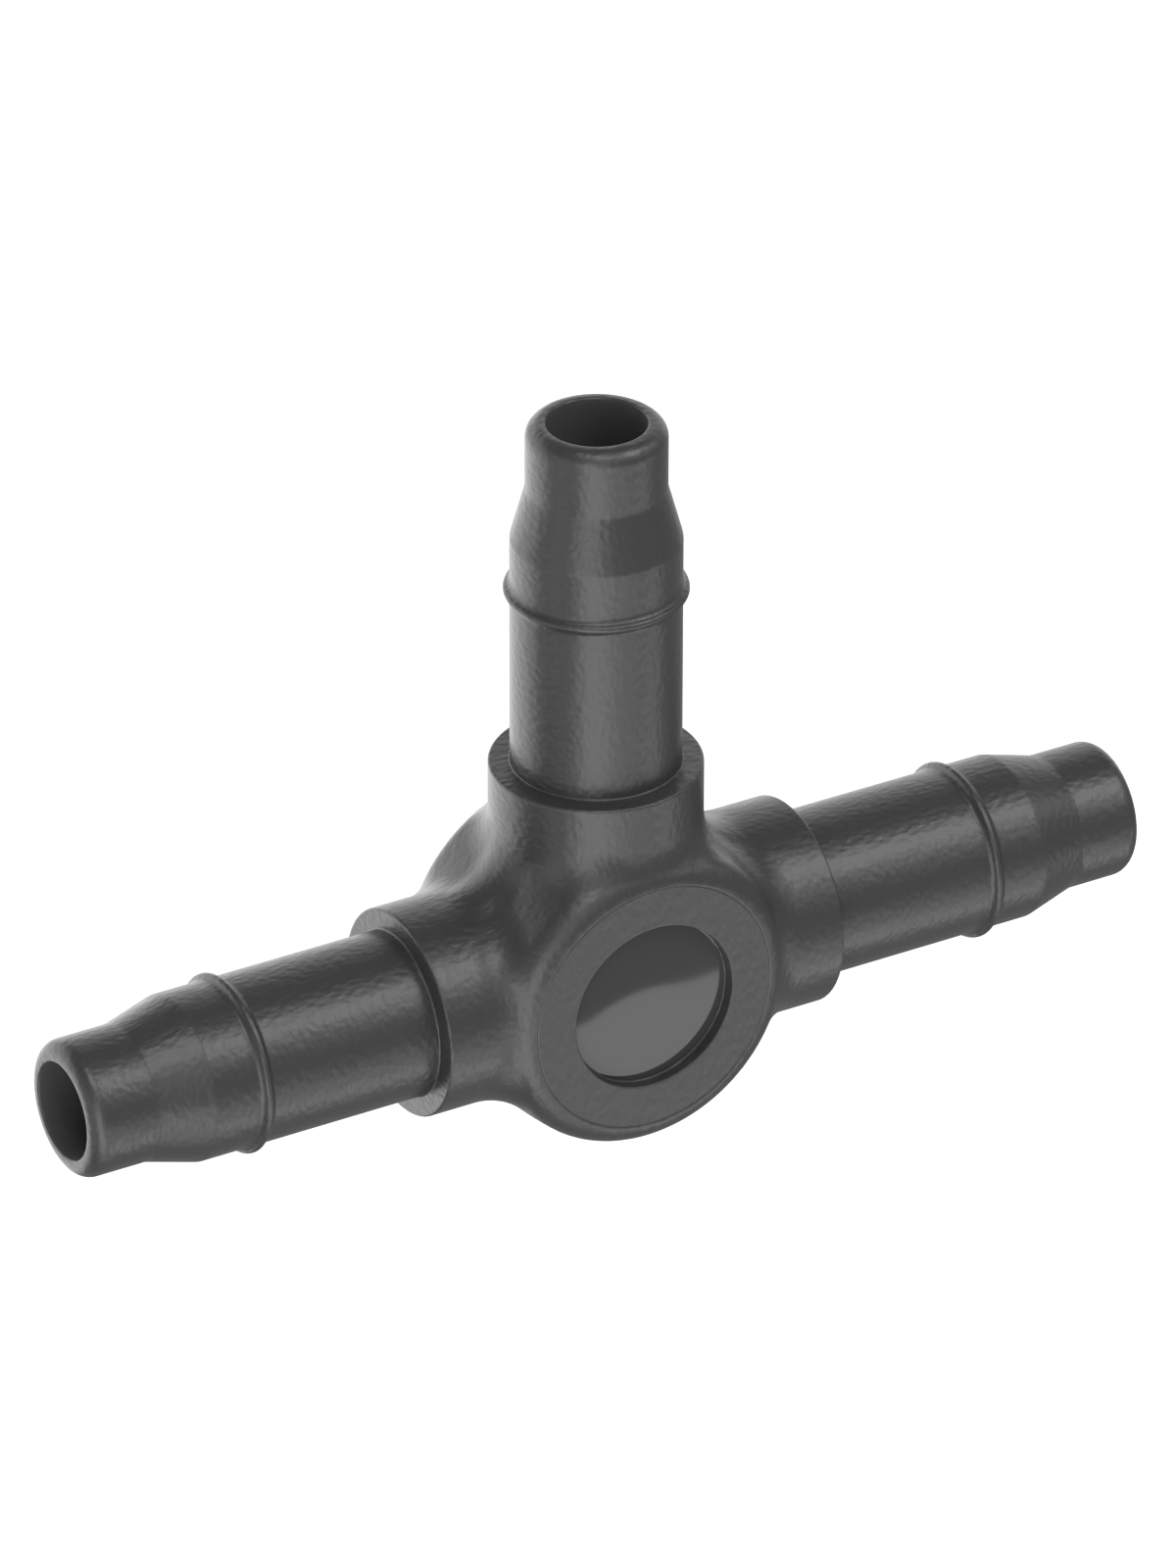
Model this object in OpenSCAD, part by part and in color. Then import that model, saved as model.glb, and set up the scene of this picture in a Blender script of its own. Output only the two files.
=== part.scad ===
// Drip line tee: one moulded piece of dark plastic. Three equal spigots leave a blended hub,
// two in line along X (the run) and one along +Y (the branch). The hub is a barrelled disc
// whose axis is Z, with a round collar behind each spigot, and it lies on its flat rear face.
// Frame: the axes of the two bores cross at the origin. All sizes are in millimetres.

/* [Spigots] */
// Outer diameter of a spigot's smooth neck, the tube's inside diameter
neck_d = 13; // [9:0.1:24]
// Reach of a spigot's tip from the crossing of the bores
tip_reach = 45.8; // [42:0.1:80]
// Distance of the retaining bead from the crossing of the bores
bead_reach = 31.9; // [22:0.1:34]
// Radius of the half-round retaining bead
bead_r = 0.5; // [0.3:0.05:1.2]
// Where the straight shoulder past the bead ends and the lead-in cone starts
shoulder_reach = 36.2; // [35:0.1:38]
// Where the lead-in cone ends and the slim nose starts
cone_reach = 40.4; // [38.5:0.1:42]
// Outer diameter of the nose
nose_d = 10.7; // [8.5:0.1:20]
// Rounding of the nose's outer lip
lip_r = 1.2; // [0.2:0.1:1.3]
// Fillet between a neck and its collar's end face
root_r = 0.15; // [0.1:0.05:0.8]

/* [Bores] */
// Diameter of the bore along the run
run_bore_d = 7.6; // [4:0.1:8]
// Diameter of the bore along the branch
branch_bore_d = 7.6; // [4:0.1:8]

/* [Hub] */
// Diameter of the collars that the spigots leave
collar_d = 16.3; // [14.5:0.1:26]
// Distance of a collar's end face from the crossing of the bores
collar_reach = 17.2; // [15:0.1:22]
// Largest diameter of the barrelled disc, at its middle
disc_d = 25.5; // [22:0.1:40]
// Thickness of the disc over its two flat faces
disc_t = 17.8; // [16.8:0.1:30]
// Radius of the barrel curve of the disc's wall
barrel_r = 45; // [20:1:200]
// Rounding between the disc's wall and its flat faces
rim_r = 2.3; // [0.8:0.1:3.5]
// How far a flat face cuts into that rounding, which leaves a fine crease round it
crease = 0.25; // [0.05:0.05:0.6]
// Radius of the blends between the disc, the collars and one another
blend_r = 4.8; // [3.5:0.1:6.5]

/* [Plain recess in the upper face] */
// Diameter of the round recess
recess_d = 13.6; // [6:0.1:18]
// Depth of the round recess
recess_depth = 1; // [0.3:0.1:2]

/* [Fineness of the blended skin] */
// Steps along each blend's arc, an even number
arc_steps = 8; // [4:2:12]
// Degrees between the lines of the skin round a collar
line_step = 4; // [3:0.5:9]

/* [Hidden] */
$fn = 96;
body_grey = [0.19, 0.19, 0.19];

neck_r = neck_d / 2;
nose_r = nose_d / 2;
collar_r = max(collar_d / 2, neck_r + root_r + 0.4);
disc_r = disc_d / 2;
face_z = max(disc_t / 2, collar_r + 0.4);
// Height of the centre of the rim's rounding, and of its circle's radius
rim_z = face_z - sqrt(rim_r * rim_r - crease * crease);
barrel_c = disc_r - barrel_r;
rim_c = barrel_c + sqrt(pow(barrel_r - rim_r, 2) - rim_z * rim_z);
// The blend is never so small that the run's and the branch's blends part at the crotch
blend = max(blend_r, (disc_r - sqrt(2) * collar_r) / (sqrt(2) - 1) + 0.5);
// Distance from a collar's axis to the centre of the ball that rolls along the blend
roll = collar_r + blend;
end_x = max(collar_reach, roll + 0.6);
// Height at which the ball passes from the disc's wall to its rounded rim
pass_z = (barrel_r + blend) * rim_z / (barrel_r - rim_r);
half_arc = round(arc_steps / 2);
wall_steps = 6;

// Radius of the disc's outline at height z, when the disc is grown by the blend's radius
function grown(z) = abs(z) <= pass_z
    ? barrel_c + sqrt(pow(barrel_r + blend, 2) - z * z)
    : rim_c + sqrt(max(pow(rim_r + blend, 2) - pow(abs(z) - rim_z, 2), 0));

// The rolling ball's centre at angle p round the run's collar, from +Z towards +Y. Where the
// branch is nearer than the disc, the ball touches run and branch and lies in the plane x = y.
function by_disc(p) = sqrt(max(pow(grown(roll * cos(p)), 2) - pow(roll * sin(p), 2), 0));
function ball(p) = [max(by_disc(p), sin(p) > 0 ? roll * sin(p) : 0), roll * sin(p), roll * cos(p)];

// Angle at which the ball touches run, branch and disc together, by halving
function corner(lo, hi, i) = i == 0 ? (lo + hi) / 2
    : let (p = (lo + hi) / 2)
      by_disc(p) > roll * sin(p) ? corner(p, hi, i - 1) : corner(lo, p, i - 1);
corner_p = corner(20, 90, 36);

// Where the ball at centre c touches the collar at angle p, the branch and the disc
function on_collar(c, p) = [c[0], collar_r * sin(p), collar_r * cos(p)];
function on_branch(c) = let (q = on_collar(c, atan2(c[1], c[2]))) [q[1], q[0], q[2]];
function on_disc(c) =
    let (e = [c[0], c[1], 0] / norm([c[0], c[1]]),
         wall = abs(c[2]) <= pass_z,
         k = wall ? e * barrel_c : e * rim_c + [0, 0, rim_z],
         r = wall ? barrel_r : rim_r)
    k + (c - k) * r / (r + blend);

// A point at part s of the way along the great circle of the ball from u to v
function turn(c, u, v, s) =
    let (a = u - c, b = v - c, w = acos(min(1, a * b / (norm(a) * norm(b)))))
    w < 0.001 ? u + (v - u) * s : c + (sin((1 - s) * w) * a + sin(s * w) * b) / sin(w);

// The disc's skin from its middle up to the crease: its half section at part t of the way, 0..1
// on the wall and 1..3 on the rounding, the part t of a point q, and a line of points on the
// skin from q to the crease, which it meets at angle a round Z
wall_lean = atan2(rim_z, rim_c - barrel_c);
face_lean = atan2(face_z - rim_z, crease);
function skin(t) = t < 1
    ? [barrel_c + barrel_r * cos(t * wall_lean), barrel_r * sin(t * wall_lean)]
    : let (w = wall_lean + (t - 1) / 2 * (face_lean - wall_lean))
      [rim_c + rim_r * cos(w), rim_z + rim_r * sin(w)];
function part(q) = q[2] <= rim_z * barrel_r / (barrel_r - rim_r)
    ? asin(q[2] / barrel_r) / wall_lean
    : 1 + 2 * (atan2(q[2] - rim_z, norm([q[0], q[1]]) - rim_c) - wall_lean) / (face_lean - wall_lean);
function rise(q, a) = let (t0 = part(q), a0 = atan2(q[1], q[0]))
    [for (k = [0:wall_steps]) k == 0 ? q
        : let (s = skin(t0 + (3 - t0) * k / wall_steps), w = a0 + (a - a0) * k / wall_steps)
          [s[0] * cos(w), s[0] * sin(w), s[1]]];
// Lines from each point of a list to the crease, spread over the angles a to b as the list is long
function along(list) = [for (i = 0, s = 0; i < len(list);
    i = i + 1, s = i < len(list) ? s + norm(list[i] - list[i - 1]) : s) s];
function rises(list, a, b) = let (s = along(list), all = s[len(s) - 1])
    [for (i = [0:len(list) - 1]) rise(list[i], a + (b - a) * s[i] / all)];

// Angles of the lines: round the run's collar below the corner, between corner and middle, and
// round the branch's collar
function spread(a, b, n) = [for (i = [0:n]) a + (b - a) * i / n];
disc_p = spread(-90, corner_p, ceil((corner_p + 90) / line_step));
crotch_p = spread(corner_p, 90, max(2, ceil((90 - corner_p) / line_step)));
branch_p = spread(0, corner_p, ceil(corner_p / line_step));
function swap(list) = [for (q = list) [q[1], q[0], q[2]]];

// The lines of one quarter of the hub, x and z not below 0
function disc_line(p) = let (c = ball(p), u = on_collar(c, p), v = on_disc(c))
    [for (k = [0:arc_steps]) turn(c, u, v, k / arc_steps)];
function crotch_line(p) = let (c = ball(p), u = on_collar(c, p), v = on_branch(c))
    [for (k = [0:half_arc]) turn(c, u, v, k / arc_steps)];
function rim_point(p) = [end_x, collar_r * sin(p), collar_r * cos(p)];

run_side = [for (p = disc_p) concat([rim_point(p)], disc_line(p))];
run_crotch = [for (p = crotch_p) concat([rim_point(p)], crotch_line(p))];
branch_side = [for (p = branch_p) swap(concat([rim_point(p)], disc_line(p)))];
branch_crotch = [for (p = crotch_p) swap(concat([rim_point(p)], crotch_line(p)))];
// Between the three blends one patch of the ball's own surface is left
corner_c = ball(corner_p);
corner_run = disc_line(corner_p);
corner_rows = [for (k = [arc_steps:-1:0])
    let (a = corner_run[k], b = swap(corner_run)[k], n = arc_steps - k)
    [for (j = [0:n]) n == 0 ? a : turn(corner_c, a, b, j / n)]];
// The disc's skin starts at its middle below the run, and at the blends round the collars
low_q = on_disc(ball(-90));
low_a = atan2(low_q[1], low_q[0]);
low_n = max(2, ceil((90 + low_a) / line_step));
run_rise = rises(concat(
    [for (i = [0:low_n - 1]) let (a = -90 + (low_a + 90) * i / low_n) [disc_r * cos(a), disc_r * sin(a), 0]],
    [for (p = disc_p) on_disc(ball(p))]), -90, 45);
branch_rise = [for (l = rises([for (p = branch_p) on_disc(ball(p))], 0, 45)) swap(l)];

// Triangles of a grid of points, of a fan and of the corner patch, as lists of three points
function strip(g, flip) = [for (i = [0:len(g) - 2], k = [0:len(g[0]) - 2])
    for (t = flip ? [[g[i][k], g[i + 1][k + 1], g[i + 1][k]], [g[i][k], g[i][k + 1], g[i + 1][k + 1]]]
                  : [[g[i][k], g[i + 1][k], g[i + 1][k + 1]], [g[i][k], g[i + 1][k + 1], g[i][k + 1]]]) t];
function fan(c, ring, flip) = [for (i = [0:len(ring) - 2])
    flip ? [c, ring[i + 1], ring[i]] : [c, ring[i], ring[i + 1]]];
function wedge(rows) = [for (k = [0:len(rows) - 2], j = [0:k])
    for (t = j < k ? [[rows[k][j], rows[k + 1][j], rows[k + 1][j + 1]], [rows[k][j], rows[k + 1][j + 1], rows[k][j + 1]]]
                   : [[rows[k][j], rows[k + 1][j], rows[k + 1][j + 1]]]) t];
function ends(lines, k) = [for (l = lines) l[k]];

quarter = concat(
    strip(run_side, true), strip(run_crotch, true),
    strip(branch_side, false), strip(branch_crotch, false),
    wedge(corner_rows),
    strip(run_rise, true), strip(branch_rise, false),
    fan([end_x, 0, 0], ends(concat(run_side, run_crotch), 0), true),
    fan([0, end_x, 0], ends(concat(branch_side, branch_crotch), 0), false),
    fan([0, 0, face_z], ends(run_rise, wall_steps), false),
    fan([0, 0, face_z], ends(branch_rise, wall_steps), true)
);
function fine(q) = [for (v = q) round(v * 1e6) / 1e6];
function real(t) = norm(cross(t[1] - t[0], t[2] - t[0])) > 1e-7;
// The other three quarters are mirror images in x, in z and in both
hub_tris = [for (s = [[1, 1], [-1, 1], [1, -1], [-1, -1]], t = quarter) if (real(t))
    let (m = [for (q = t) fine([q[0] * s[0], q[1], q[2] * s[1]])])
    s[0] * s[1] > 0 ? m : [m[0], m[2], m[1]]];

module hub_skin() {
    polyhedron(points = [for (t = hub_tris) for (q = t) q],
        faces = [for (i = [0:len(hub_tris) - 1]) [3 * i + 2, 3 * i + 1, 3 * i]], convexity = 6);
}

// Half section of a spigot, from inside the hub to its tip
module spigot_half() {
    union() {
        polygon([[0, neck_r], [neck_r, neck_r], [neck_r, shoulder_reach], [nose_r, cone_reach],
            [nose_r, tip_reach - lip_r], [nose_r - lip_r, tip_reach], [0, tip_reach]]);
        intersection() {
            translate([nose_r - lip_r, tip_reach - lip_r]) circle(r = lip_r);
            translate([nose_r - lip_r, tip_reach - lip_r]) square(lip_r + 1);
        }
        translate([neck_r, bead_reach]) circle(r = bead_r);
        difference() {
            translate([neck_r - 1, end_x - 2]) square([1 + root_r, 2 + root_r]);
            translate([neck_r + root_r, end_x + root_r]) circle(r = root_r);
        }
    }
}

module spigot() {
    rotate_extrude() spigot_half();
}

module tee_body() {
    color(body_grey)
    difference() {
        union() {
            hub_skin();
            rotate([0, 90, 0]) spigot();
            rotate([0, -90, 0]) spigot();
            rotate([-90, 0, 0]) spigot();
        }
        rotate([0, 90, 0]) cylinder(d = run_bore_d, h = 2 * tip_reach + 4, center = true);
        rotate([-90, 0, 0]) cylinder(d = branch_bore_d, h = tip_reach + 2);
        translate([0, 0, face_z - recess_depth]) cylinder(d = recess_d, h = recess_depth + 1);
    }
}

tee_body();
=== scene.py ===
"""A drip line tee of dark moulded polypropylene, lying on a pale floor under soft studio light.

Frame: the bores cross at the origin, the run lies along X, the branch along +Y and the disc's
axis along Z. Sizes are in millimetres unless a comment says otherwise, and the finished meshes
are in metres.
"""
from math import acos, asin, atan2, ceil, cos, degrees, hypot, pi, radians, sin, sqrt, tan

import bmesh
import bpy
from mathutils import Matrix, Quaternion, Vector


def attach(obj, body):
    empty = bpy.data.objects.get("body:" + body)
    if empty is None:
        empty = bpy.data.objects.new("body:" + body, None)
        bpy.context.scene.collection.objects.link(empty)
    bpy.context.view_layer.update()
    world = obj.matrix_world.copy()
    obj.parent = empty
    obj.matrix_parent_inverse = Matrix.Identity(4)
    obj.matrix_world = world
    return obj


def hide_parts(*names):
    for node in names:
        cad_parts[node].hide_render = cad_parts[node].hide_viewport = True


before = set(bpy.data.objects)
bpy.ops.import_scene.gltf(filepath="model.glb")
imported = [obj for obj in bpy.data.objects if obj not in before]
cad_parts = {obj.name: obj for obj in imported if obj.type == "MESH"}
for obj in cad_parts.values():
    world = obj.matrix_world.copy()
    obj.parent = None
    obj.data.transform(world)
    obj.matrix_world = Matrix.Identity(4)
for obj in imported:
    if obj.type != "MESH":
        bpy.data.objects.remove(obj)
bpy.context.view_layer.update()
scene = bpy.context.scene
MM = 0.001

# Spigots: radii, and reaches from the crossing of the bores
NECK_R = 6.5
NOSE_R = 5.35
BORE_R = 3.8
BEAD = 31.9          # middle of the retaining bead
BEAD_R = 0.5         # how far the bead stands proud of the neck
SHOULDER = 36.2      # where the straight shoulder ends and the lead-in cone starts
CONE = 40.4          # where the cone ends and the slim nose starts
TIP = 45.8
LIP_R = 1.2          # rounding of the nose's outer lip
ROOT_R = 0.15        # fillet between a neck and its collar's end face

# Hub
COLLAR_R = 8.15
COLLAR_END = 17.2    # reach of a collar's end face
DISC_R = 12.75       # at the middle of the barrelled wall
FACE_Z = 8.9         # height of the flat faces
BARREL_R = 45.0      # barrel curve of the wall
RIM_R = 2.3          # rounding between the wall and the flat faces
CREASE = 0.25        # how far a flat face cuts into that rounding
BLEND_R = 4.8        # blends between the disc, the collars and one another
RECESS_R = 6.8
RECESS_DEPTH = 1.0

# Small roundings that every moulded edge has
COLLAR_EDGE = 0.2
CONE_EDGE = 1.2      # at both ends of the lead-in cone
MOUTH_EDGE = 0.18
RECESS_EDGE = 0.1    # at the recess's lip and round its floor
BEAD_CREST = 0.32    # the bead's round crest
BEAD_FOOT = 0.5      # the hollow at each foot of the bead

# The fine sunk line that a mould's insert leaves round a flat face: how far in from the face's
# edge, and how deep. The last two points keep the face flat beside it.
WITNESS_LINE = ((0, 0), (0.02, 0.02), (0.05, 0.04), (0.08, 0.04), (0.11, 0.02), (0.13, 0),
                (0.17, 0), (0.6, 0))

# Rings beside the roundings, which keep straight and flat stretches true under smooth shading
SPIGOT_HOLD = 0.6
LIP_HOLD = 0.4
BEAD_HOLD = 0.25
EDGE_HOLD = 0.15
FACE_HOLD = 0.05
ROOT_HOLDS = (0.8, 3.0)
NECK_RING = BEAD - 2.5
BORE_RINGS = (38.0, 30.0, 22.0, 14.0, 8.0)
FACE_RING_R = 8.4
LOWER_RING_R = 6.0
CROSSING = BORE_R + 0.4  # reach at which a spigot's bore hands over to the crossing

# Fineness of the mesh
ROUND = 144          # facets round a spigot
LINE_STEP = 1.5      # degrees between the lines of the blended skin
ARC_STEPS = 18       # steps along a blend
RISE_STEPS = 16      # steps up the disc's wall and over its rounding
BORE_STEPS = 6       # steps from a bore's handover to the crossing
ROOT_STEPS = 6       # steps over each small rounding, from here on
FOOT_STEPS = 7
CREST_STEPS = 12
LIP_STEPS = 10
EDGE_STEPS = 5
SOFT_STEPS = 4       # at the cone and the recess
SAME_ANGLE = 1e-6    # radians within which two lines of the skin are one
SAME_POINT = 2e-4    # distance within which two points are one
NO_LENGTH = 1e-5     # length under which an edge is none


# Lines and rings of points
def arc(cx, cy, r, a0, a1, steps):
    """Points of a half section on an arc round (cx, cy), from angle a0 to a1 in degrees."""
    angles = [radians(a0 + (a1 - a0) * k / steps) for k in range(steps + 1)]
    return [(cx + r * cos(a), cy + r * sin(a)) for a in angles]


def eased(a, b, c, r, steps):
    """The corner a-b-c of a half section with its point rounded to radius r."""
    corner = Vector(b)
    to_a, to_c = (Vector(a) - corner).normalized(), (Vector(c) - corner).normalized()
    half = to_a.angle(to_c) / 2
    run = r / sin(half) * cos(half)
    mid = corner + (to_a + to_c).normalized() * (r / sin(half))
    u, v = corner + to_a * run - mid, corner + to_c * run - mid
    w = u.angle(v)
    return [tuple(mid + (u * sin((1 - k / steps) * w) + v * sin(k / steps * w)) / sin(w))
            for k in range(steps + 1)]


def level(r, *reaches):
    """Points of a half section at one radius."""
    return [(reach, r) for reach in reaches]


def between(a, b, steps):
    """Numbers from a to b in even steps, both ends included."""
    return [a + (b - a) * k / steps for k in range(steps + 1)]


def spread(a, b):
    """Angles from a to b, no further apart than the skin's lines may be."""
    return between(a, b, max(2, ceil(abs(b - a) / radians(LINE_STEP))))


def apart(angles):
    """The angles in order, less those that repeat, also by a whole turn."""
    ordered = sorted({round(a, 9) for a in angles})
    kept = [a for k, a in enumerate(ordered) if k == 0 or a - ordered[k - 1] > SAME_ANGLE]
    return kept[:-1] if kept[-1] - kept[0] > 2 * pi - SAME_ANGLE else kept


def grid(lines):
    """The quads between neighbouring lines of points."""
    return [(a[k], b[k], b[k + 1], a[k + 1])
            for a, b in zip(lines, lines[1:]) for k in range(len(a) - 1)]


def fan(ring, middle):
    """The triangles between a closed ring of points and its middle."""
    return [(a, b, middle) for a, b in zip(ring, ring[1:])]


def stitch(outer, inner):
    """Triangles between two closed rings of (angle, point), each in order of its angle."""
    faces, i, j = [], 0, 0
    n, m = len(outer), len(inner)

    def at(ring, k):
        return ring[k % len(ring)][0] + 2 * pi * (k // len(ring))

    while i < n or j < m:
        if j >= m or (i < n and at(outer, i + 1) < at(inner, j + 1)):
            faces.append((outer[i % n][1], outer[(i + 1) % n][1], inner[j % m][1]))
            i += 1
        else:
            faces.append((outer[i % n][1], inner[(j + 1) % m][1], inner[j % m][1]))
            j += 1
    return faces


# The spigots
def spigot_half_section():
    """From the collar's end face outwards over bead, cone, nose and lip, and back down the bore."""
    # the bead is a ridge with a round crest and a hollow fillet at each foot
    up = BEAD_R - BEAD_CREST
    reach = sqrt((BEAD_CREST + BEAD_FOOT) ** 2 - (BEAD_FOOT - up) ** 2)
    foot = degrees(atan2(BEAD_FOOT - up, reach))
    lean = (NOSE_R - NECK_R) / (CONE - SHOULDER)
    pts = arc(COLLAR_END + ROOT_R, NECK_R + ROOT_R, ROOT_R, 180, 270, ROOT_STEPS)
    pts += level(NECK_R, *(COLLAR_END + hold for hold in ROOT_HOLDS), NECK_RING,
                 BEAD - reach - BEAD_HOLD)
    pts += arc(BEAD - reach, NECK_R + BEAD_FOOT, BEAD_FOOT, -90, -foot, FOOT_STEPS)
    pts += arc(BEAD, NECK_R + up, BEAD_CREST, 180 - foot, foot, CREST_STEPS)[1:-1]
    pts += arc(BEAD + reach, NECK_R + BEAD_FOOT, BEAD_FOOT, 180 + foot, 270, FOOT_STEPS)
    pts += level(NECK_R, BEAD + reach + BEAD_HOLD, SHOULDER - SPIGOT_HOLD)
    pts += eased((BEAD, NECK_R), (SHOULDER, NECK_R), (CONE, NOSE_R), CONE_EDGE, SOFT_STEPS)
    pts += [(SHOULDER + SPIGOT_HOLD, NECK_R + SPIGOT_HOLD * lean),
            (CONE - SPIGOT_HOLD, NOSE_R - SPIGOT_HOLD * lean)]
    pts += eased((SHOULDER, NECK_R), (CONE, NOSE_R), (TIP, NOSE_R), CONE_EDGE, SOFT_STEPS)
    pts += level(NOSE_R, CONE + SPIGOT_HOLD, TIP - LIP_R - LIP_HOLD)
    pts += arc(TIP - LIP_R, NOSE_R - LIP_R, LIP_R, 90, 0, LIP_STEPS)
    pts += arc(TIP - MOUTH_EDGE, BORE_R + MOUTH_EDGE, MOUTH_EDGE, 0, -90, EDGE_STEPS)
    pts += level(BORE_R, TIP - SPIGOT_HOLD, *BORE_RINGS, CROSSING)
    return pts


def add_node(tree, kind, inputs=(), **settings):
    """One node of a tree, with its settings and its inputs, each a value or another node's socket."""
    node = tree.nodes.new(kind)
    for name, value in settings.items():
        setattr(node, name, value)
    for name, value in dict(inputs).items():
        if isinstance(value, bpy.types.NodeSocket):
            tree.links.new(value, node.inputs[name])
        else:
            node.inputs[name].default_value = value
    return node


def spigot_tree():
    """Turns a half section about its axis, and sets the spigot in its three places round Z."""
    tree = bpy.data.node_groups.new("three turned spigots", "GeometryNodeTree")
    sockets = tree.interface
    sockets.new_socket("Half section", in_out="INPUT", socket_type="NodeSocketGeometry")
    for name, kind, value in (("Facets round", "NodeSocketInt", ROUND),
                              ("Turning radius", "NodeSocketFloat", MM),
                              ("Spigots", "NodeSocketInt", 3),
                              ("Angle between spigots", "NodeSocketFloat", pi / 2),
                              ("First spigot's angle", "NodeSocketFloat", -pi / 2)):
        sockets.new_socket(name, in_out="INPUT", socket_type=kind).default_value = value
    sockets.new_socket("Plastic", in_out="INPUT", socket_type="NodeSocketMaterial")
    sockets.new_socket("Turned spigots", in_out="OUTPUT", socket_type="NodeSocketGeometry")
    given = add_node(tree, "NodeGroupInput").outputs
    # the half section is drawn at (radius less the turning radius, reach) and swept round a circle
    section = add_node(tree, "GeometryNodeMeshToCurve", {"Mesh": given["Half section"]})
    ring = add_node(tree, "GeometryNodeCurvePrimitiveCircle",
                    {"Resolution": given["Facets round"], "Radius": given["Turning radius"]})
    turned = add_node(tree, "GeometryNodeCurveToMesh",
                      {"Curve": ring.outputs["Curve"], "Profile Curve": section.outputs["Curve"]})
    spots = add_node(tree, "GeometryNodePoints", {"Count": given["Spigots"]})
    index = add_node(tree, "GeometryNodeInputIndex")
    angle = add_node(tree, "ShaderNodeMath",
                     {0: index.outputs["Index"], 1: given["Angle between spigots"],
                      2: given["First spigot's angle"]}, operation="MULTIPLY_ADD")
    # the sweep's axis is -Z: a quarter turn about X lays it along +Y before the turn about Z
    spin = add_node(tree, "ShaderNodeCombineXYZ", {"X": pi / 2, "Z": angle.outputs[0]})
    placed = add_node(tree, "GeometryNodeInstanceOnPoints",
                      {"Points": spots.outputs[0], "Instance": turned.outputs["Mesh"],
                       "Rotation": spin.outputs["Vector"]})
    real = add_node(tree, "GeometryNodeRealizeInstances", {"Geometry": placed.outputs[0]})
    dressed = add_node(tree, "GeometryNodeSetMaterial",
                       {"Geometry": real.outputs[0], "Material": given["Plastic"]})
    add_node(tree, "NodeGroupOutput", {"Turned spigots": dressed.outputs[0]})
    return tree


def turned_spigots(plastic):
    """The three spigots as one plain mesh."""
    section = spigot_half_section()
    mesh = bpy.data.meshes.new("spigot half section")
    mesh.from_pydata([(r * MM - MM, reach * MM, 0) for reach, r in section],
                     [(k, k + 1) for k in range(len(section) - 1)], [])
    holder = bpy.data.objects.new("spigot half section", mesh)
    scene.collection.objects.link(holder)
    tree = spigot_tree()
    modifier = holder.modifiers.new("three turned spigots", "NODES")
    modifier.node_group = tree
    wanted = {"Facets round": ROUND, "Plastic": plastic}
    for item in tree.interface.items_tree:
        if item.in_out == "INPUT" and item.name in wanted:
            modifier[item.identifier] = wanted[item.name]
    made = bpy.data.meshes.new_from_object(
        holder.evaluated_get(bpy.context.evaluated_depsgraph_get()))
    bpy.data.objects.remove(holder)
    return made


# The hub's blended skin. A ball of the blend's radius rolls along the collars, the disc and the
# crotch between run and branch. Every point of the blends lies on that ball, between the points
# where it touches.
# Centres of the rim's rounding and of the barrel curve, as height and as distance from the axis
RIM_Z = FACE_Z - sqrt(RIM_R ** 2 - CREASE ** 2)
BARREL_C = DISC_R - BARREL_R
RIM_C = BARREL_C + sqrt((BARREL_R - RIM_R) ** 2 - RIM_Z ** 2)
# Distance of the ball's centre from a collar's axis, and the height at which it passes from the
# wall to the rim's rounding
ROLL = COLLAR_R + BLEND_R
PASS_Z = (BARREL_R + BLEND_R) * RIM_Z / (BARREL_R - RIM_R)
# How far the section leans, in radians, at the end of the wall and at the crease
WALL_LEAN = atan2(RIM_Z, RIM_C - BARREL_C)
FACE_LEAN = atan2(FACE_Z - RIM_Z, CREASE)


def grown(z):
    """Radius of the disc's outline at height z, grown by the blend's radius."""
    if abs(z) <= PASS_Z:
        return BARREL_C + sqrt((BARREL_R + BLEND_R) ** 2 - z * z)
    return RIM_C + sqrt(max((RIM_R + BLEND_R) ** 2 - (abs(z) - RIM_Z) ** 2, 0))


def by_disc(p):
    """Reach of the ball's centre where the disc stops it, at angle p round the collar."""
    return sqrt(max(grown(ROLL * cos(p)) ** 2 - (ROLL * sin(p)) ** 2, 0))


def ball(p):
    """The ball's centre at angle p round the run's collar, from +Z towards +Y."""
    return Vector((max(by_disc(p), ROLL * sin(p)), ROLL * sin(p), ROLL * cos(p)))


def corner_angle():
    """Where the ball touches run, branch and disc together, by halving."""
    lo, hi = radians(20), radians(90)
    for _ in range(50):
        mid = (lo + hi) / 2
        lo, hi = (mid, hi) if by_disc(mid) > ROLL * sin(mid) else (lo, mid)
    return lo


def swap(q):
    """The point's mirror image across the plane between run and branch."""
    return Vector((q.y, q.x, q.z))


def swapped(lines):
    """Lines of the run's side as the branch's, or the other way about."""
    return [[swap(q) for q in line] for line in lines]


def on_collar(c, p):
    """Where the ball at c touches the run's collar."""
    return Vector((c.x, COLLAR_R * sin(p), COLLAR_R * cos(p)))


def on_branch(c):
    """Where the ball at c touches the branch's collar."""
    return swap(on_collar(c, atan2(c.y, c.z)))


def on_disc(c):
    """Where the ball at c touches the disc, on its wall or on its rim's rounding."""
    out = Vector((c.x, c.y, 0)).normalized()
    wall = abs(c.z) <= PASS_Z
    k = out * BARREL_C if wall else out * RIM_C + Vector((0, 0, RIM_Z))
    r = BARREL_R if wall else RIM_R
    return k + (c - k) * (r / (r + BLEND_R))


def turn(c, u, v, s):
    """The point at part s of the way along the ball's great circle from u to v."""
    a, b = u - c, v - c
    w = acos(min(1, a.dot(b) / (a.length * b.length)))
    return u.lerp(v, s) if w < 1e-5 else c + (a * sin((1 - s) * w) + b * sin(s * w)) / sin(w)


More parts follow.
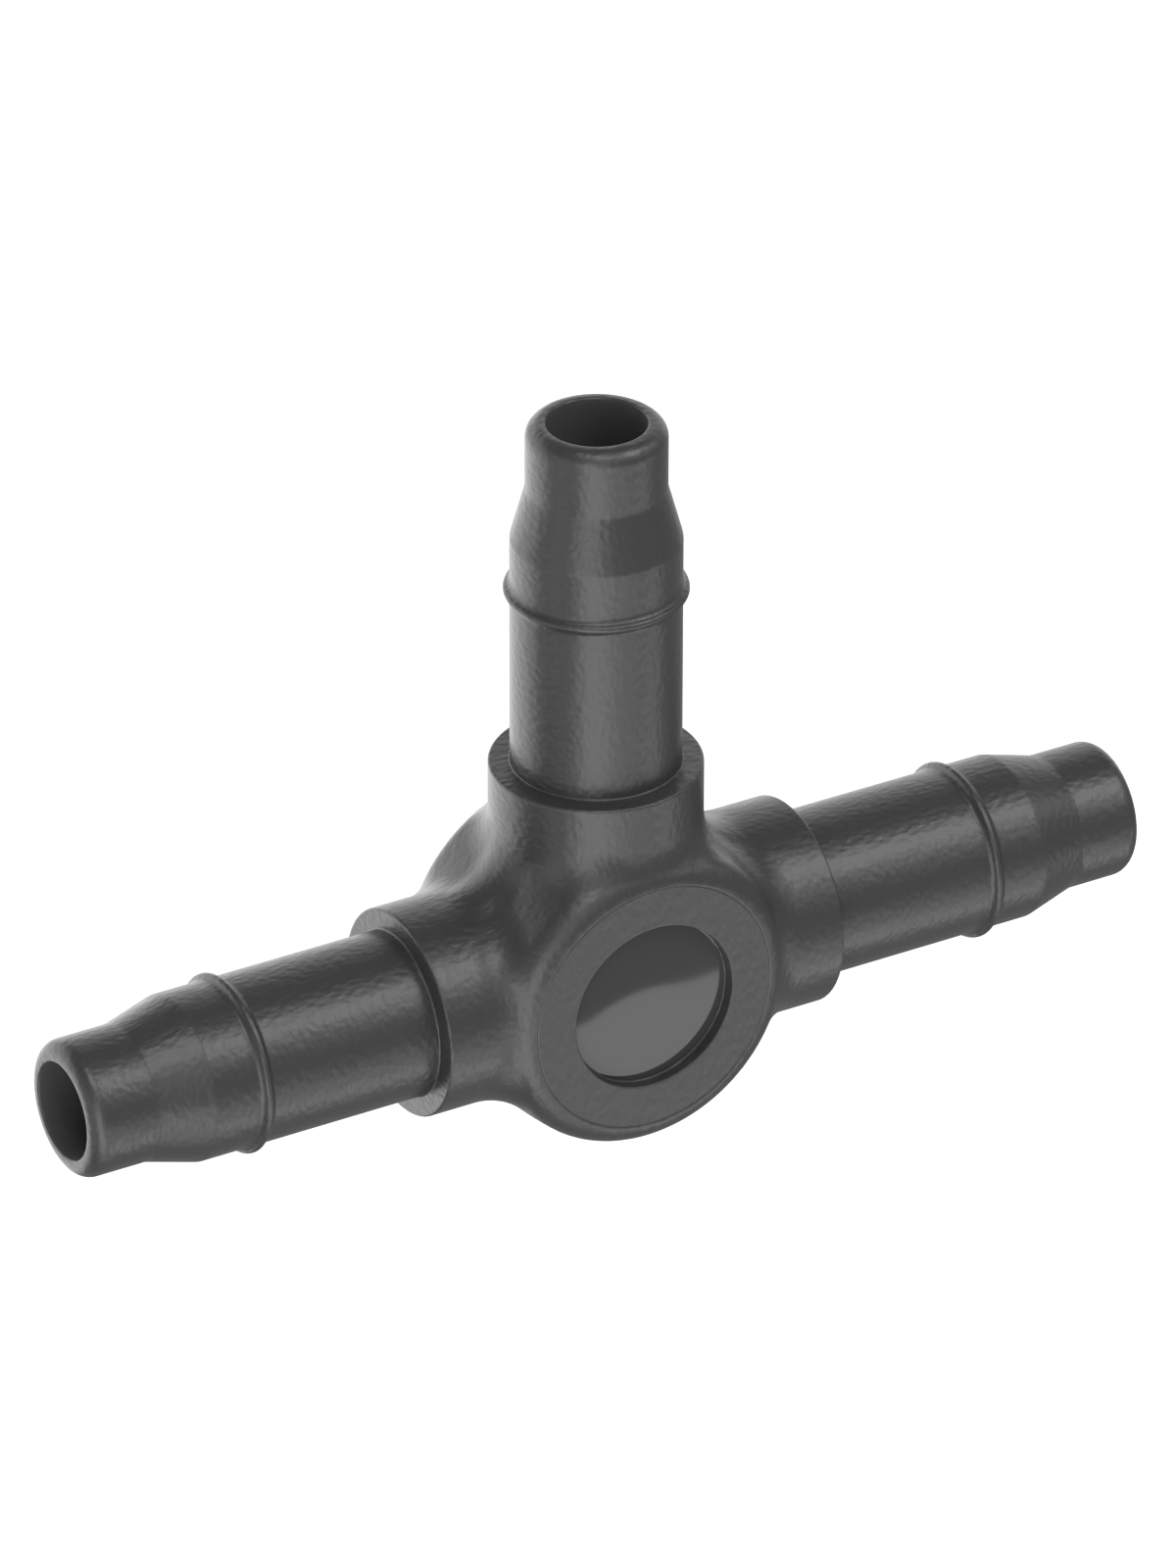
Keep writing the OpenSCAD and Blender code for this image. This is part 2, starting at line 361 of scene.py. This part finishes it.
CORNER = corner_angle()
LOW = spread(-pi / 2, CORNER)      # angles round the run's collar where the disc is beside it
CROTCH = spread(CORNER, pi / 2)    # and where the branch is beside it
SIDE = spread(0, CORNER)           # angles round the branch's collar, from its top to the corner


def collar_rim(p):
    """From the collar's end face over its edge and along the collar to the blend."""
    blend = ball(p).x
    pts = [(COLLAR_END, COLLAR_R - COLLAR_EDGE - FACE_HOLD)]
    pts += arc(COLLAR_END - COLLAR_EDGE, COLLAR_R - COLLAR_EDGE, COLLAR_EDGE, 0, 90, EDGE_STEPS)
    pts += level(COLLAR_R, COLLAR_END - COLLAR_EDGE - EDGE_HOLD, (COLLAR_END + blend) / 2,
                 blend + min(2 * EDGE_HOLD, (COLLAR_END - blend) / 4))
    return [Vector((x, r * sin(p), r * cos(p))) for x, r in pts]


def blend_line(p, far, steps=ARC_STEPS):
    """The first steps of the blend from the collar at angle p to the point that far gives."""
    c = ball(p)
    start, end = on_collar(c, p), far(c)
    return [turn(c, start, end, k / ARC_STEPS) for k in range(steps + 1)]


def collar_lines(angles, far, steps=ARC_STEPS):
    """Lines along a collar and its blend, one for each angle."""
    return [collar_rim(p) + blend_line(p, far, steps) for p in angles]


def corner_patch():
    """The patch of the ball's own surface that is left between the three blends."""
    c = ball(CORNER)
    edge = blend_line(CORNER, on_disc)
    rows = [edge[-1:]]
    for n in range(1, ARC_STEPS + 1):
        start = edge[ARC_STEPS - n]
        rows.append([turn(c, start, swap(start), j / n) for j in range(n + 1)])
    faces = []
    for k, (a, b) in enumerate(zip(rows, rows[1:])):
        faces += [(a[j], b[j], b[j + 1]) for j in range(k + 1)]
        faces += [(a[j], b[j + 1], a[j + 1]) for j in range(k)]
    return faces


def disc_section(t):
    """The disc's half section from its middle (0) past the end of the wall (1) to the crease (3)."""
    if t < 1:
        return BARREL_C + BARREL_R * cos(t * WALL_LEAN), BARREL_R * sin(t * WALL_LEAN)
    w = WALL_LEAN + (t - 1) / 2 * (FACE_LEAN - WALL_LEAN)
    return RIM_C + RIM_R * cos(w), RIM_Z + RIM_R * sin(w)


def section_part(q):
    """Where the point q of the disc's skin lies along disc_section."""
    if q.z <= RIM_Z * BARREL_R / (BARREL_R - RIM_R):
        return asin(q.z / BARREL_R) / WALL_LEAN
    lean = atan2(q.z - RIM_Z, hypot(q.x, q.y) - RIM_C)
    return 1 + 2 * (lean - WALL_LEAN) / (FACE_LEAN - WALL_LEAN)


def rises(starts, first, last):
    """Lines up the disc's skin to the crease, whose ends are spread as the starts are spaced."""
    run = [0.0]
    for a, b in zip(starts, starts[1:]):
        run.append(run[-1] + (b - a).length)
    lines = []
    for q, s in zip(starts, run):
        a0, a1 = atan2(q.y, q.x), first + (last - first) * s / run[-1]
        t0 = section_part(q)
        line = [q.copy()]
        for part in between(0, 1, RISE_STEPS)[1:]:
            r, z = disc_section(t0 + (3 - t0) * part)
            a = a0 + (a1 - a0) * part
            line.append(Vector((r * cos(a), r * sin(a), z)))
        lines.append(line)
    return lines


def run_rises():
    """Lines from the disc's middle and from the feet of the run's blend up to the crease."""
    foot = on_disc(ball(-pi / 2))
    bottom = [Vector((DISC_R * cos(a), DISC_R * sin(a), 0))
              for a in spread(-pi / 2, atan2(foot.y, foot.x))[:-1]]
    return rises(bottom + [on_disc(ball(p)) for p in LOW], -pi / 2, pi / 4)


def branch_rises():
    """Lines from the feet of the branch's blend up to the crease."""
    return swapped(rises([on_disc(ball(p)) for p in SIDE], 0, pi / 4))


def blended_skin(run_rise, branch_rise):
    """Collars, blends and disc, mirrored from the quarter at positive X and Z."""
    run_crotch = collar_lines(CROTCH, on_branch, ARC_STEPS // 2)
    quarter = corner_patch()
    for lines in (collar_lines(LOW, on_disc), run_crotch, swapped(collar_lines(SIDE, on_disc)),
                  swapped(run_crotch), run_rise, branch_rise):
        quarter += grid(lines)
    return [tuple(Vector((q.x * sx, q.y, q.z * sz)) for q in face)
            for sx in (1, -1) for sz in (1, -1) for face in quarter]


def end_face(angles, place):
    """One collar's end face, from its rim to the ring where the spigot's root fillet starts."""
    rim, root = COLLAR_R - COLLAR_EDGE - FACE_HOLD, NECK_R + ROOT_R
    even = between(0, 2 * pi, ROUND)[:-1]
    ring = [[place(root + FACE_HOLD, a), place(root, a)] for a in even]
    return grid(ring + ring[:1]) + stitch([(a, place(rim, a)) for a in angles],
                                          [(a, place(root + FACE_HOLD, a)) for a in even])


def collar_ends():
    """The three collars' end faces, whose rims follow the lines of the blended skin."""
    run = apart(a % (2 * pi) for p in LOW + CROTCH for a in (p, pi - p))
    branch = apart(a % (2 * pi) for p in SIDE + CROTCH for a in (p, -p, pi - p, pi + p))
    return (end_face(run, lambda r, a: Vector((COLLAR_END, r * sin(a), r * cos(a))))
            + end_face(run, lambda r, a: Vector((-COLLAR_END, r * sin(a), r * cos(a))))
            + end_face(branch, lambda r, a: Vector((r * sin(a), COLLAR_END, r * cos(a)))))


def flat_faces(rise_lines):
    """(both flat faces with the wall of the round recess, the recess's floor)."""
    ends = apart(atan2(line[-1].y, line[-1].x) for line in rise_lines)
    ends += [pi - a for a in reversed(ends[1:-1])]

    def turned(section):
        """Lines of a section of (radius, height), turned about Z in step with the skin's lines."""
        lines = [[Vector((r * cos(a), r * sin(a), z)) for r, z in section] for a in ends]
        return lines + lines[:1]

    def middle(r, z):
        """The flat middle of a face, inside radius r."""
        return fan([line[0] for line in turned([(r, z)])], Vector((0, 0, z)))

    edge = [(RIM_C + CREASE - inwards, FACE_Z - depth) for inwards, depth in WITNESS_LINE]
    lower = [(r, -z) for r, z in edge] + [(LOWER_RING_R, -FACE_Z)]
    lip, floor_z, floor_r = RECESS_R + RECESS_EDGE, FACE_Z - RECESS_DEPTH, RECESS_R - RECESS_EDGE
    upper = edge + [(FACE_RING_R, FACE_Z), (lip + EDGE_HOLD, FACE_Z)]
    upper += arc(lip, FACE_Z - RECESS_EDGE, RECESS_EDGE, 90, 180, SOFT_STEPS)
    upper += [(RECESS_R, FACE_Z - 2 * RECESS_EDGE), (RECESS_R, floor_z + 2 * RECESS_EDGE)]
    upper += arc(floor_r, floor_z + RECESS_EDGE, RECESS_EDGE, 0, -90, SOFT_STEPS)
    floor = [(r, floor_z) for r in (floor_r, floor_r - RECESS_EDGE, floor_r / 2)]
    plain = grid(turned(upper)) + grid(turned(lower)) + middle(*lower[-1])
    return plain, grid(turned(floor)) + middle(*floor[-1])


def bore_crossing():
    """The bores inside the hub: the run's wall is cut away where the branch enters it."""
    branch, open_side, closed_side = [], [], []
    for a in between(0, 2 * pi, ROUND):
        x, z = BORE_R * cos(a), BORE_R * sin(a)
        branch.append([Vector((x, y, z)) for y in between(CROSSING, abs(x), BORE_STEPS)])
    for a in between(-pi / 2, pi / 2, ROUND // 2):
        y, z = BORE_R * cos(a), BORE_R * sin(a)
        open_side.append([Vector((x, y, z)) for x in between(CROSSING, max(y, 0), BORE_STEPS)])
        closed_side.append([Vector((x, -y, -z)) for x in between(CROSSING, -CROSSING, 2 * BORE_STEPS)])
    mirrored = [[Vector((-q.x, q.y, q.z)) for q in line] for line in open_side]
    return grid(branch) + grid(open_side) + grid(mirrored) + grid(closed_side)


def hub_faces():
    """(faces of the plain skin, faces of the recess's floor), as tuples of points."""
    run_rise, branch_rise = run_rises(), branch_rises()
    plain, floor = flat_faces(run_rise + branch_rise)
    return blended_skin(run_rise, branch_rise) + collar_ends() + plain + bore_crossing(), floor


def tee_mesh(looks):
    """Spigots, blended hub and bores as one closed mesh. The looks are those of its skin, of the
    recess's floor and of the bores."""
    skin, recess_floor, bores = range(len(looks))
    work = bmesh.new()
    work.from_mesh(turned_spigots(looks[skin]))
    for face in work.faces:
        face.material_index = skin
    for look, faces in zip((skin, recess_floor), hub_faces()):
        for points in faces:
            work.faces.new([work.verts.new(q * MM) for q in points]).material_index = look
    bmesh.ops.remove_doubles(work, verts=work.verts, dist=SAME_POINT * MM)
    bmesh.ops.dissolve_degenerate(work, edges=work.edges, dist=NO_LENGTH * MM)
    bmesh.ops.recalc_face_normals(work, faces=work.faces)
    # only the bores' walls lie this near to the bores' axes
    inside = BORE_R + 0.01
    for face in work.faces:
        face.smooth = True
        mid = face.calc_center_median() / MM
        if hypot(mid.y, mid.z) < inside or (mid.y > 0 and hypot(mid.x, mid.z) < inside):
            face.material_index = bores
    mesh = bpy.data.meshes.new("tee")
    for look in looks:
        mesh.materials.append(look)
    work.to_mesh(mesh)
    work.free()
    return mesh


# Materials
PLASTIC_IOR = 1.49


def hex_colour(code):
    """An sRGB hex value as the linear colour that the shader takes."""
    parts = [int(code[k:k + 2], 16) / 255 for k in (1, 3, 5)]
    return tuple(c / 12.92 if c <= 0.04045 else ((c + 0.055) / 1.055) ** 2.4 for c in parts) + (1.0,)


def new_material(name, **sockets):
    """A material with one Principled shader: the material, its node tree and the shader."""
    material = bpy.data.materials.new(name)
    material.use_nodes = True
    tree = material.node_tree
    tree.nodes.clear()
    shader = add_node(tree, "ShaderNodeBsdfPrincipled", sockets)
    add_node(tree, "ShaderNodeOutputMaterial", {"Surface": shader.outputs["BSDF"]})
    return material, tree, shader


def streaked_skin(tree):
    """Height of a fine streaky skin, from 0 to 1. The streaks are about 0.4 mm across and 0.7 mm
    long. They run along Y on what faces Z, along X on what faces Y and along Z on what faces X."""
    across, along = 2.3 / MM, 1.4 / MM  # streaks in a millimetre
    place = add_node(tree, "ShaderNodeTexCoord")
    facing = add_node(tree, "ShaderNodeVectorMath", {0: place.outputs["Normal"]}, operation="ABSOLUTE")
    square = add_node(tree, "ShaderNodeVectorMath",
                      {0: facing.outputs[0], 1: facing.outputs[0]}, operation="MULTIPLY")
    share = add_node(tree, "ShaderNodeVectorMath",
                     {0: square.outputs[0], 1: square.outputs[0]}, operation="MULTIPLY")
    heights = add_node(tree, "ShaderNodeCombineXYZ")
    for axis, stretch in enumerate(((across, across, along), (along, across, across),
                                    (across, along, across))):
        sized = add_node(tree, "ShaderNodeVectorMath", {0: place.outputs["Object"], 1: stretch},
                         operation="MULTIPLY")
        streaks = add_node(tree, "ShaderNodeTexNoise", {
            "Vector": sized.outputs[0], "Scale": 1.0, "Detail": 0.6, "Roughness": 0.5})
        tree.links.new(streaks.outputs["Fac"], heights.inputs[axis])
    mixed = add_node(tree, "ShaderNodeVectorMath",
                     {0: heights.outputs[0], 1: share.outputs[0]}, operation="DOT_PRODUCT")
    whole = add_node(tree, "ShaderNodeVectorMath",
                     {0: share.outputs[0], 1: (1, 1, 1)}, operation="DOT_PRODUCT")
    return add_node(tree, "ShaderNodeMath", {0: mixed.outputs["Value"], 1: whole.outputs["Value"]},
                    operation="DIVIDE").outputs[0]


def moulded_polypropylene():
    """Black polypropylene off a finely stoned tool: satin, its reflections broken by soft streaks."""
    material, tree, shader = new_material(
        "moulded polypropylene",
        **{"Base Color": hex_colour("#272727"), "Roughness": 0.38, "IOR": PLASTIC_IOR})
    bump = add_node(tree, "ShaderNodeBump",
                    {"Height": streaked_skin(tree), "Strength": 1.0, "Distance": 0.055 * MM})
    tree.links.new(bump.outputs["Normal"], shader.inputs["Normal"])
    return material


def polished_polypropylene():
    """The same plastic off a polished core pin: glossy, with the faint sink of a thicker wall."""
    material, tree, shader = new_material(
        "polished polypropylene",
        **{"Base Color": hex_colour("#2d2d2d"), "Roughness": 0.02, "IOR": PLASTIC_IOR})
    place = add_node(tree, "ShaderNodeTexCoord")
    # the sinks lie some 6 mm apart, and are a few micrometres deep
    sinks = add_node(tree, "ShaderNodeTexNoise", {
        "Vector": place.outputs["Object"], "Scale": 1 / (6.25 * MM), "Detail": 0.0})
    bump = add_node(tree, "ShaderNodeBump",
                    {"Height": sinks.outputs["Fac"], "Strength": 1.0, "Distance": 0.01 * MM})
    tree.links.new(bump.outputs["Normal"], shader.inputs["Normal"])
    return material


def bore_plastic_with_painted_light():
    """The same plastic in the bores, matt where it shrank away from the core pins. Its base colour is
    painted lighter than the skin's, as painted light in the shaded bores.
    """
    # painted light: the base colour is lighter than the skin's #272727 to brighten the shaded bores
    material, tree, shader = new_material(
        "bore plastic with painted light",
        **{"Base Color": hex_colour("#313131"), "Roughness": 0.8, "IOR": PLASTIC_IOR})
    place = add_node(tree, "ShaderNodeTexCoord")
    # the grains are about 0.1 mm across, which is as fine as still shows
    grains = add_node(tree, "ShaderNodeTexNoise", {
        "Vector": place.outputs["Object"], "Scale": 1 / (0.125 * MM), "Detail": 0.0})
    bump = add_node(tree, "ShaderNodeBump",
                    {"Height": grains.outputs["Fac"], "Strength": 1.0, "Distance": 0.025 * MM})
    tree.links.new(bump.outputs["Normal"], shader.inputs["Normal"])
    return material


def lit_acrylic():
    """Opal acrylic of a light table: matt and lit evenly from below. It lets most of the studio's
    light through, so that it stays just past white and the part's outline stays crisp."""
    return new_material(
        "opal acrylic", **{"Base Color": hex_colour("#7a7a7a"), "Roughness": 0.9,
                           "Emission Color": (1, 1, 1, 1), "Emission Strength": 1.0})[0]


# The part
tee = bpy.data.objects.new("drip_line_tee", tee_mesh(
    (moulded_polypropylene(), polished_polypropylene(), bore_plastic_with_painted_light())))
scene.collection.objects.link(tee)
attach(tee, "root")
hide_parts("tee_body")

# The studio, in metres and degrees
LIGHT_AWAY = 1.1
FLOOR_HALF = 10
# Rectangular soft lights: bearing round Z from +X and height above the floor, the half angles
# that one fills, how bright its face looks, and for one its turn about its own axis
SOFTBOXES = (
    ("front left, wide", -152, 49, 33, 19, 2.8),
    ("front left, key", -143, 46, 16, 8, 1.1),
    ("front", -98, 35, 16, 13, 1.8),
    ("front, high", -78, 64, 17, 9, 2.3),
    ("front right", -60, 30, 7, 7, 5.2),
    ("over the disc", -51.9, 45, 9, 3.5, 2.0, -25),
    ("right, low", -35, 34, 10, 7, 2.7),
    ("right, at table height", 36, 14, 15, 10, 2.0),
    ("back right", 60, 27, 9, 12, 8.0),
    ("back right, high", 42, 43, 14, 7, 2.2),
    ("back left", 100, 22, 11, 16, 5.8),
    ("left, high", 130, 55, 30, 18, 1.0),
    ("left, at table height", -172, 4, 30, 10, 1.3),
)
# Soft patches of the air: the side that one lies on, the cosines from that side at which it starts
# and is full, and the radiance outside and inside it. They add up.
AIR = (
    ((0.15, 0.9, -0.4), 0.2, 0.7, 0.38, 0.14),        # the dim surround, darkest low at the back
    ((-0.36, -0.15, -0.92), 0.62, 0.84, 0.0, 2.2),    # the lit table, brightest at the left
    ((0.62, 0.12, -0.775), 0.75, 0.95, 0.0, 1.2),     # the lit table at the right
    ((0.05, 0.07, -0.996), 0.965, 0.995, 0.0, -1.0),  # the part's own shade, straight below it
)


def softbox(name, bearing, height, wide, high, radiance, roll=0):
    """One of SOFTBOXES, turned to face the part."""
    a, h = radians(bearing), radians(height)
    place = Vector((cos(h) * cos(a), cos(h) * sin(a), sin(h))) * LIGHT_AWAY
    lamp = bpy.data.lights.new(name, "AREA")
    lamp.shape = "RECTANGLE"
    lamp.size, lamp.size_y = (2 * LIGHT_AWAY * tan(radians(half)) for half in (wide, high))
    lamp.energy = radiance * pi * lamp.size * lamp.size_y
    holder = bpy.data.objects.new(name, lamp)
    holder.location = place
    turned = (-place).to_track_quat("-Z", "Y") @ Quaternion((0, 0, 1), radians(roll))
    holder.rotation_euler = turned.to_euler()
    scene.collection.objects.link(holder)


def studio_floor():
    """The light table's plain surface, at the height of the hub's lower face."""
    mesh = bpy.data.meshes.new("floor")
    mesh.from_pydata([(FLOOR_HALF * x, FLOOR_HALF * y, -FACE_Z * MM)
                      for x, y in ((-1, -1), (1, -1), (1, 1), (-1, 1))], [], [(0, 1, 2, 3)])
    mesh.materials.append(lit_acrylic())
    holder = bpy.data.objects.new("floor", mesh)
    # the table stays out of the gloss, which shows the studio's air round the part on all sides
    holder.visible_glossy = False
    scene.collection.objects.link(holder)


def studio_air():
    """What the gloss mirrors between the lights, as the sum of the soft patches in AIR."""
    air = bpy.data.worlds.new("studio air")
    air.use_nodes = True
    air.cycles.sampling_method = "NONE"
    tree = air.node_tree
    place = add_node(tree, "ShaderNodeTexCoord")
    total = 0.0
    for towards, starts, full, outside, inside in AIR:
        near = add_node(tree, "ShaderNodeVectorMath",
                        {0: place.outputs["Generated"], 1: towards}, operation="DOT_PRODUCT")
        patch = add_node(tree, "ShaderNodeMapRange",
                         {0: near.outputs["Value"], 1: starts, 2: full, 3: outside, 4: inside},
                         interpolation_type="SMOOTHSTEP")
        total = add_node(tree, "ShaderNodeMath", {0: total, 1: patch.outputs[0]},
                         operation="ADD").outputs[0]
    background = tree.nodes["Background"]
    tree.links.new(total, background.inputs["Strength"])
    background.inputs["Color"].default_value = (1, 1, 1, 1)
    scene.world = air


# The camera, as fitted to the photograph's outline
PHOTO_WIDE, PHOTO_HIGH = 1200, 1600  # pixels
HUB_PIXEL = (607.55, 974.3)          # where the crossing of the bores falls
FOCAL_PIXELS = 12193.68
CAMERA_AWAY = 0.90714                # metres from the crossing
CAMERA_TURN, CAMERA_RISE, CAMERA_ROLL = radians(30.2436), radians(30.5501), radians(-0.1413)
SENSOR = 36.0
CLIP = (0.01, 50)                    # metres


def photo_camera():
    """The photograph's viewpoint and framing, in which the branch points up the picture."""
    # from the photograph's upright frame (X run, Y away, Z branch) to the part's own
    def own(x, y, z):
        return Vector((x, z, -y))
    back = own(-sin(CAMERA_TURN) * cos(CAMERA_RISE), -cos(CAMERA_TURN) * cos(CAMERA_RISE),
               sin(CAMERA_RISE))
    level_right = own(cos(CAMERA_TURN), -sin(CAMERA_TURN), 0)
    level_up = back.cross(level_right)
    right = level_right * cos(CAMERA_ROLL) - level_up * sin(CAMERA_ROLL)
    up = level_right * sin(CAMERA_ROLL) + level_up * cos(CAMERA_ROLL)
    look = Matrix((right, up, back)).transposed()
    hub_ray = Vector((HUB_PIXEL[0] - PHOTO_WIDE / 2, PHOTO_HIGH / 2 - HUB_PIXEL[1], -FOCAL_PIXELS))
    look = look @ hub_ray.rotation_difference(Vector((0, 0, -1))).to_matrix()
    lens = bpy.data.cameras.new("camera")
    lens.sensor_fit, lens.sensor_height = "VERTICAL", SENSOR
    lens.lens = FOCAL_PIXELS / PHOTO_HIGH * SENSOR
    lens.clip_start, lens.clip_end = CLIP
    holder = bpy.data.objects.new("camera", lens)
    holder.matrix_world = Matrix.Translation(back * CAMERA_AWAY) @ look.to_4x4()
    scene.collection.objects.link(holder)
    scene.camera = holder


studio_floor()
studio_air()
for box in SOFTBOXES:
    softbox(*box)
photo_camera()
scene.view_settings.view_transform = "Standard"
